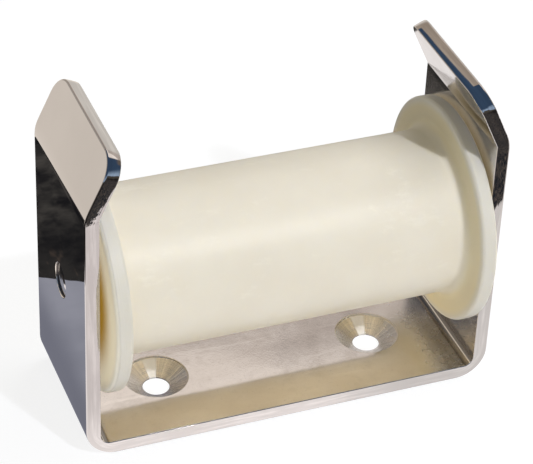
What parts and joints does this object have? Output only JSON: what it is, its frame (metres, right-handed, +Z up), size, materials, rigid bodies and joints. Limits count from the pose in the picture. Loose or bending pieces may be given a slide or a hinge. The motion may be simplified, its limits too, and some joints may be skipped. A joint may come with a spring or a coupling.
{
  "type": "deck roller",
  "caption": "Deck roller: a flanged nylon spool turning on an axle between the inward-leaning cheeks of a polished bent-plate frame, screwed down through countersunk holes in its base.",
  "frame": {"origin": "centre of the base's underside, where it lies on the deck", "axes": "+X along the axle, +Y across the base in the direction the rope runs, +Z up from the deck"},
  "size_m": [0.148, 0.08, 0.1186],
  "materials": {
    "polished_plate": "mirror polished stainless plate, edges a little duller",
    "axle_steel": "turned stainless bar",
    "natural_nylon": "satin, turned, ivory and slightly translucent"
  },
  "bodies": {
    "frame": {"frame": "polished_plate", "axle": "axle_steel"},
    "roller": {"roller": "natural_nylon"}
  },
  "joints": [
    {"name": "roller_spin", "type": "hinge", "parent": "frame", "child": "roller", "pos_m": [0, 0, 0.055], "axis": [1, 0, 0], "continuous": true}
  ]
}
